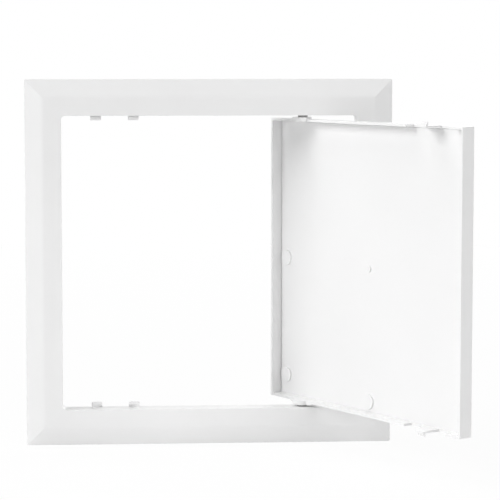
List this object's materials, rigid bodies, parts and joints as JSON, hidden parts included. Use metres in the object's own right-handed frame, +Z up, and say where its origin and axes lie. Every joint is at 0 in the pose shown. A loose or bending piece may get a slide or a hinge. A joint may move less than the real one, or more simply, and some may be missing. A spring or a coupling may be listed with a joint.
{
  "type": "ceiling access panel",
  "caption": "Square white plastic access panel with a bevelled bezel frame, a collar for the cut-out and a shallow tray door that swings on pins and snaps shut.",
  "frame": {"origin": "centre of the square cut-out, on the face of the ceiling or wall", "axes": "+Z up along the hinge pins, +X to the right towards the hinge side, +Y into the cut-out; the room side faces -Y"},
  "size_m": [0.2467, 0.1505, 0.218],
  "materials": {
    "frame_plastic": "white ABS, satin moulded",
    "door_plastic": "white ABS, satin moulded",
    "pin_plastic": "grey acetal, smooth moulded"
  },
  "bodies": {
    "frame": {"frame": "frame_plastic", "hinge_pin_top": "pin_plastic", "hinge_pin_bottom": "pin_plastic"},
    "door": {"door": "door_plastic"},
    "latch_tongue_top": {"latch_tongue_top": "door_plastic"},
    "latch_tongue_bottom": {"latch_tongue_bottom": "door_plastic"}
  },
  "joints": [
    {"name": "door_hinge", "type": "hinge", "parent": "frame", "child": "door", "pos_m": [0.056, 0.003, 0], "axis": [0, 0, 1], "range_deg": [-122, 30]},
    {"name": "latch_flex_top", "type": "hinge", "parent": "door", "child": "latch_tongue_top", "pos_m": [0.11917, -0.0896, 0.08435], "axis": [0.5299, -0.848, 0], "range_deg": [0, 5], "stiffness_Nm_per_rad": 1.5},
    {"name": "latch_flex_bottom", "type": "hinge", "parent": "door", "child": "latch_tongue_bottom", "pos_m": [0.11917, -0.0896, -0.08435], "axis": [-0.5299, 0.848, 0], "range_deg": [0, 5], "stiffness_Nm_per_rad": 1.5}
  ]
}
